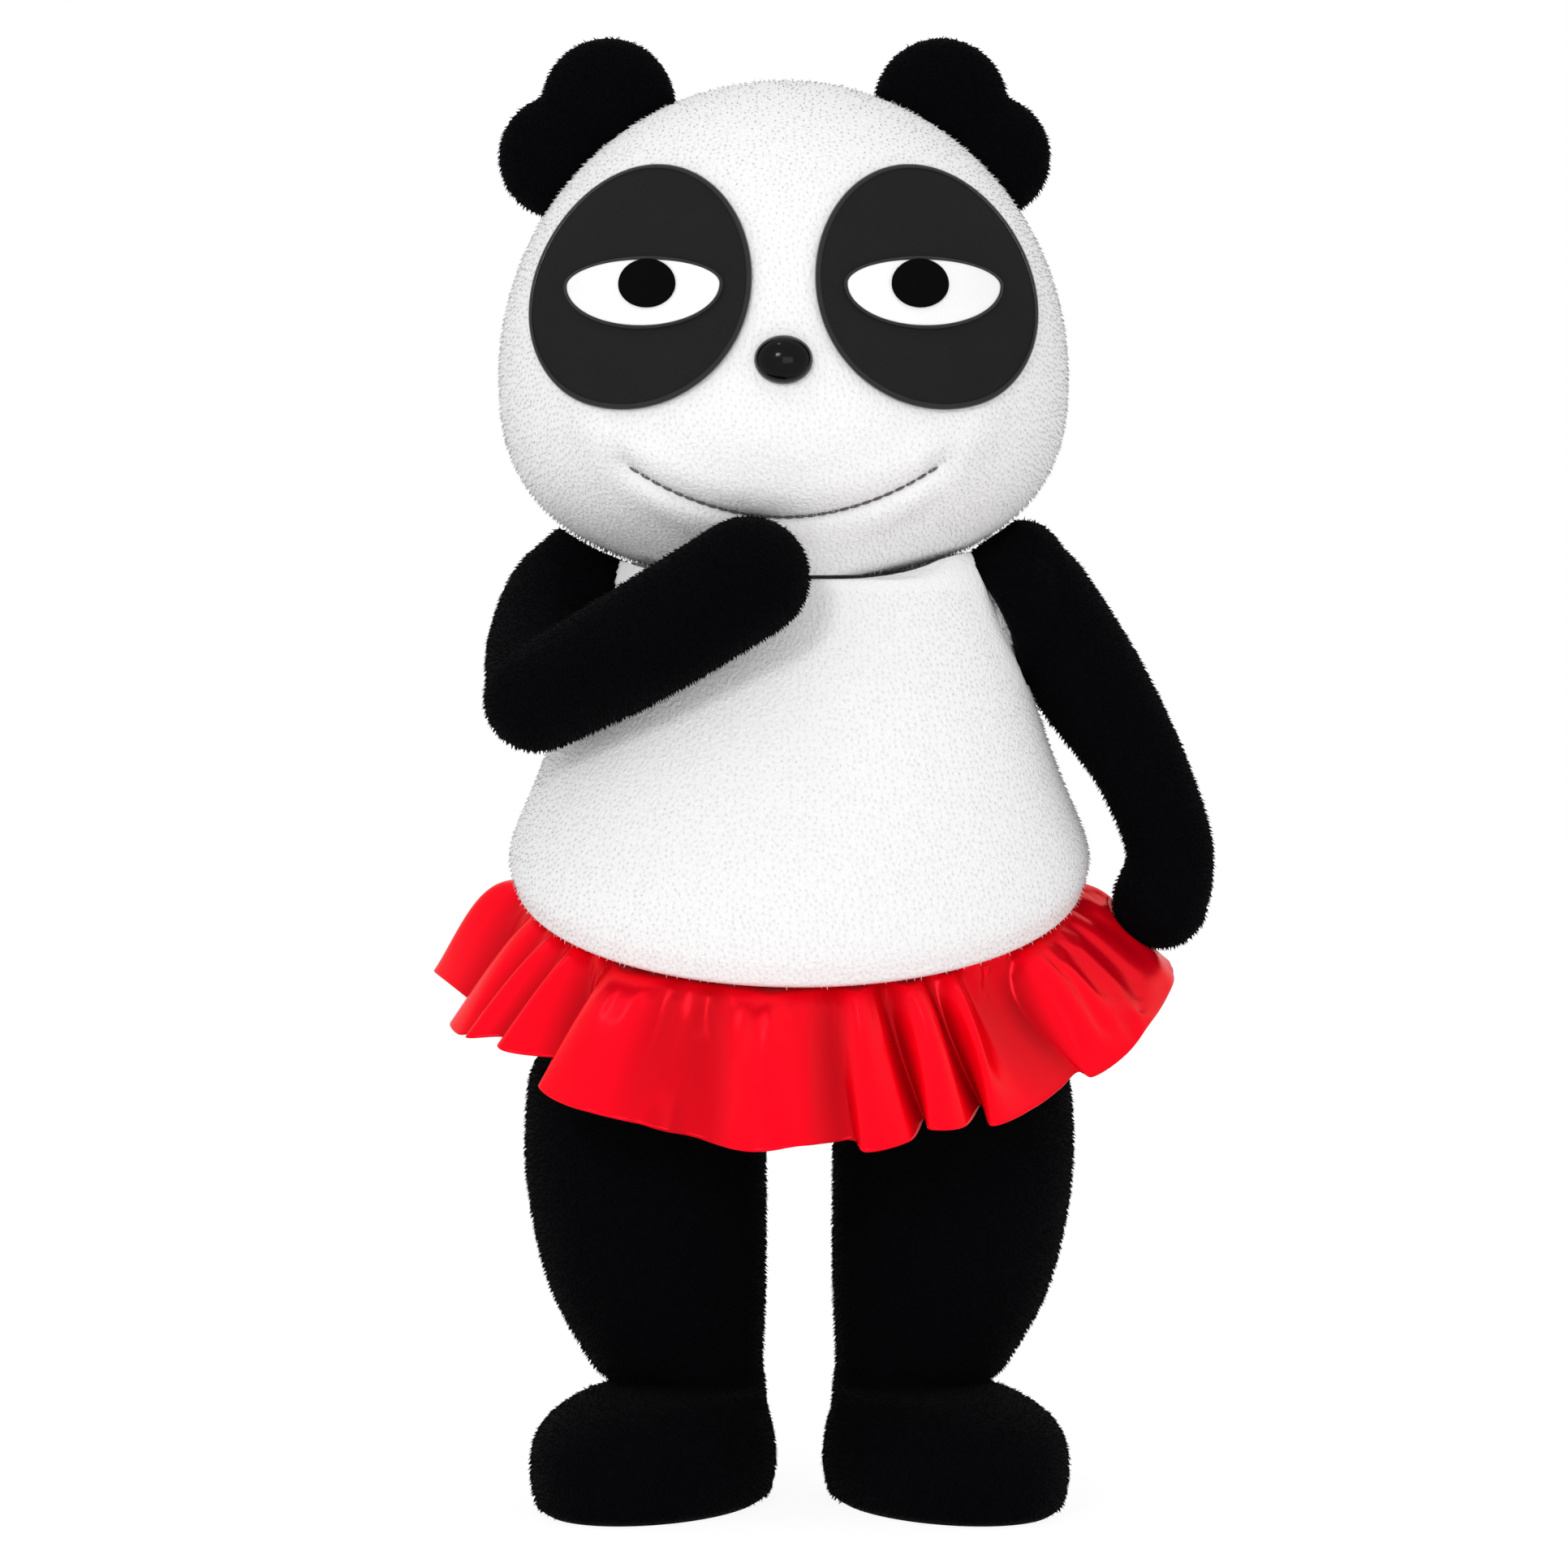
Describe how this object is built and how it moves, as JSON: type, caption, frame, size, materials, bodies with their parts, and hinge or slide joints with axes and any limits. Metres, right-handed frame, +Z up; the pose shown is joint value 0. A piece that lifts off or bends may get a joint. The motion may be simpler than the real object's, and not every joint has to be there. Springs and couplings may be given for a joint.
{
  "type": "plush panda",
  "caption": "Standing stuffed panda toy with a turning head, jointed arms and legs, a paw raised to its chin and a flared satin skirt round its hips.",
  "frame": {"origin": "on the floor, midway between the two hip bolts and so between the two soles", "axes": "+Z up, -Y the way the face looks, +X toward the toy's own left arm"},
  "size_m": [0.3438, 0.266, 0.6479],
  "materials": {
    "white_plush": "short white plush pile",
    "black_plush": "short black plush pile",
    "filling": "polyester fibre filling",
    "grey_felt": "charcoal felt",
    "white_felt": "white felt",
    "black_felt": "black felt",
    "nose_plastic": "glossy black",
    "washer_plastic": "natural white",
    "mouth_thread": "grey stitching thread",
    "red_satin": "glossy red satin",
    "elastic": "white woven elastic",
    "pellets": "plastic pellets in a cotton bag",
    "fibreboard": "plain pressed fibreboard",
    "steel": "zinc-plated steel"
  },
  "bodies": {
    "torso": {"torso_cover": "white_plush", "torso_filling": "filling", "pellet_pouch": "pellets", "skirt_frill": "red_satin", "skirt_waistband": "red_satin", "waist_elastic": "elastic", "neck_body_disc": "fibreboard", "right_shoulder_disc": "fibreboard", "left_shoulder_disc": "fibreboard", "right_hip_disc": "fibreboard", "left_hip_disc": "fibreboard"},
    "head": {"head_cover": "white_plush", "head_filling": "filling", "right_ear": "black_plush", "left_ear": "black_plush", "right_eye_patch": "grey_felt", "left_eye_patch": "grey_felt", "right_eye_white": "white_felt", "left_eye_white": "white_felt", "right_pupil": "black_felt", "left_pupil": "black_felt", "nose": "nose_plastic", "nose_washer": "washer_plastic", "mouth_stitch": "mouth_thread", "neck_head_disc": "fibreboard", "neck_bolt": "steel", "neck_nut": "steel"},
    "right_arm": {"right_upper_arm_cover": "black_plush", "right_upper_arm_filling": "filling", "right_forearm_cover": "black_plush", "right_forearm_filling": "filling", "right_arm_disc": "fibreboard", "right_shoulder_bolt": "steel", "right_shoulder_nut": "steel"},
    "left_arm": {"left_arm_cover": "black_plush", "left_arm_filling": "filling", "left_arm_disc": "fibreboard", "left_shoulder_bolt": "steel", "left_shoulder_nut": "steel"},
    "right_leg": {"right_leg_cover": "black_plush", "right_leg_filling": "filling", "right_sole_board": "fibreboard", "right_foot_pellets": "pellets", "right_leg_disc": "fibreboard", "right_hip_bolt": "steel", "right_hip_nut": "steel"},
    "left_leg": {"left_leg_cover": "black_plush", "left_leg_filling": "filling", "left_sole_board": "fibreboard", "left_foot_pellets": "pellets", "left_leg_disc": "fibreboard", "left_hip_bolt": "steel", "left_hip_nut": "steel"}
  },
  "joints": [
    {"name": "neck_turn", "type": "hinge", "parent": "torso", "child": "head", "pos_m": [-0.007, 0, 0.4082], "axis": [0, 0, 1], "range_deg": [-30, 30]},
    {"name": "right_shoulder", "type": "hinge", "parent": "torso", "child": "right_arm", "pos_m": [-0.09416, 0.00809, 0.38698], "axis": [-0.6964, -0.1228, 0.7071], "range_deg": [-90, 0]},
    {"name": "left_shoulder", "type": "hinge", "parent": "torso", "child": "left_arm", "pos_m": [0.09112, 0.00201, 0.39182], "axis": [0.8754, 0.2346, 0.4226], "range_deg": [-90, 0]},
    {"name": "right_hip", "type": "hinge", "parent": "torso", "child": "right_leg", "pos_m": [-0.062, 0, 0.2048], "axis": [0, 0, 1], "range_deg": [-45, 15]},
    {"name": "left_hip", "type": "hinge", "parent": "torso", "child": "left_leg", "pos_m": [0.062, 0, 0.2048], "axis": [0, 0, 1], "range_deg": [-15, 45]}
  ]
}
